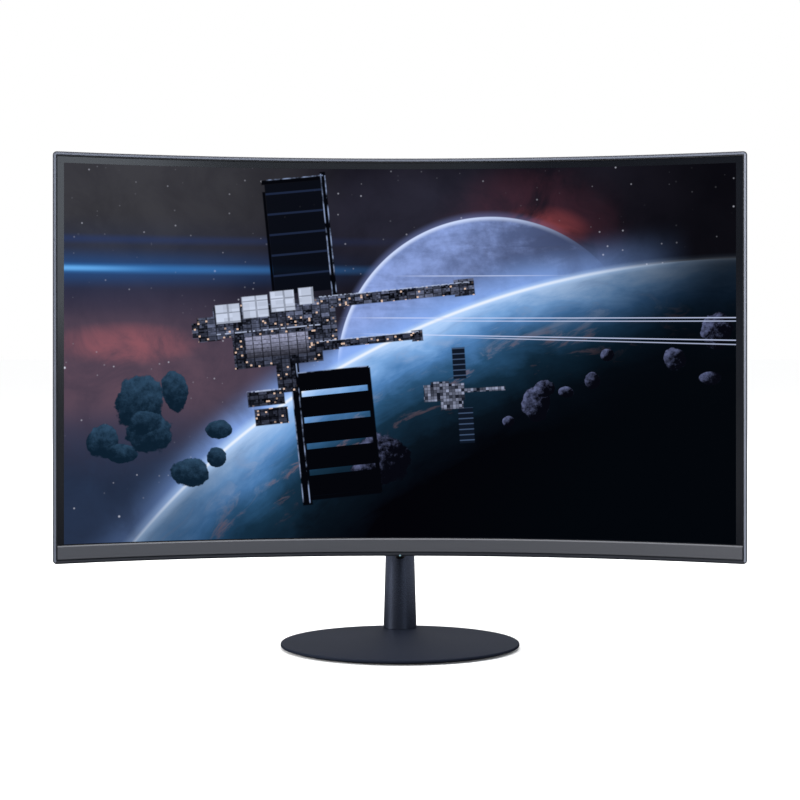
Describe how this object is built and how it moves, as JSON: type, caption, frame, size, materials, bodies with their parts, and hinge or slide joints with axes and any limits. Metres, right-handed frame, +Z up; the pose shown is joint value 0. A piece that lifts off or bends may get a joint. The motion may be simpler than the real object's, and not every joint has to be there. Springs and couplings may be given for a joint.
{
  "type": "computer monitor",
  "caption": "Curved widescreen computer monitor with a slim chin, a round tapering neck and a thin oval base; the screen tilts and a small jog control sits under the chin.",
  "frame": {"origin": "middle of the base's footprint, on the desk", "axes": "+X to the viewer's right, +Y from the screen towards its back, +Z up"},
  "size_m": [0.612, 0.184, 0.4446],
  "materials": {
    "case_plastic": "fine textured",
    "frame_satin": "satin",
    "chin_satin": "fine brushed satin",
    "screen_glass": "semi-gloss",
    "white_film": "matt",
    "acrylic": "gloss",
    "sheet_steel": "plain",
    "bright_steel": "bright",
    "circuit_board": "satin",
    "black_plastic": "matt",
    "stand_paint": "satin",
    "pad_rubber": "matt",
    "light_lens": "frosted",
    "brass": "plain"
  },
  "bodies": {
    "stand": {"base_disc": "stand_paint", "neck_tube": "stand_paint", "neck_spine": "stand_paint", "base_pad_1": "pad_rubber", "base_pad_2": "pad_rubber", "base_pad_3": "pad_rubber", "base_pad_4": "pad_rubber", "base_pad_5": "pad_rubber", "base_pad_6": "pad_rubber"},
    "display": {"front_frame": "frame_satin", "chin_bar": "chin_satin", "lcd_panel": "screen_glass", "power_light_lens": "light_lens", "backlight_chassis": "sheet_steel", "optical_sheets": "white_film", "light_guide": "acrylic", "reflector_sheet": "white_film", "led_strip": "circuit_board", "main_board": "circuit_board", "power_jack": "black_plastic", "video_port_1": "bright_steel", "video_port_2": "bright_steel", "video_port_3": "bright_steel", "headphone_jack": "black_plastic", "backlight_driver_board": "circuit_board", "panel_driver_board": "circuit_board", "panel_ribbon_cable": "white_film", "speaker_left": "black_plastic", "speaker_right": "black_plastic", "speaker_cable_left": "black_plastic", "speaker_cable_right": "black_plastic", "jog_housing": "black_plastic", "jog_board": "circuit_board", "mount_plate": "sheet_steel", "hinge_bracket": "sheet_steel", "rear_cover": "case_plastic", "hinge_shaft": "bright_steel", "friction_washer_left": "bright_steel", "friction_washer_right": "bright_steel", "hinge_nut_left": "bright_steel", "hinge_nut_right": "bright_steel", "hinge_cap_left": "black_plastic", "hinge_cap_right": "black_plastic", "wall_mount_post_1": "brass", "cover_screw_1": "bright_steel", "wall_mount_post_2": "brass", "cover_screw_2": "bright_steel", "wall_mount_post_3": "brass", "cover_screw_3": "bright_steel", "wall_mount_post_4": "brass", "cover_screw_4": "bright_steel"},
    "jog_gimbal": {"jog_gimbal": "bright_steel"},
    "jog_stem": {"jog_stem": "bright_steel"},
    "jog_button": {"jog_cap": "black_plastic"},
    "base_thumb_screw": {"base_screw": "bright_steel"}
  },
  "joints": [
    {"name": "screen_tilt", "type": "hinge", "parent": "stand", "child": "display", "pos_m": [0, 0.077, 0.195], "axis": [-1, 0, 0], "range_deg": [-2, 20]},
    {"name": "jog_up_down", "type": "hinge", "parent": "display", "child": "jog_gimbal", "pos_m": [0, 0.035, 0.0891], "axis": [1, 0, 0], "range_deg": [-7, 7], "stiffness_Nm_per_rad": 0.04},
    {"name": "jog_left_right", "type": "hinge", "parent": "jog_gimbal", "child": "jog_stem", "pos_m": [0, 0.035, 0.0891], "axis": [0, 1, 0], "range_deg": [-7, 7], "stiffness_Nm_per_rad": 0.04},
    {"name": "jog_press", "type": "slide", "parent": "jog_stem", "child": "jog_button", "axis": [0, 0, 1], "range_m": [0, 0.001], "stiffness_N_per_m": 900, "springref_m": -0.0005},
    {"name": "base_screw_turn", "type": "hinge", "parent": "stand", "child": "base_thumb_screw", "pos_m": [0, 0.077, 0.0025], "axis": [0, 0, 1], "continuous": true}
  ]
}
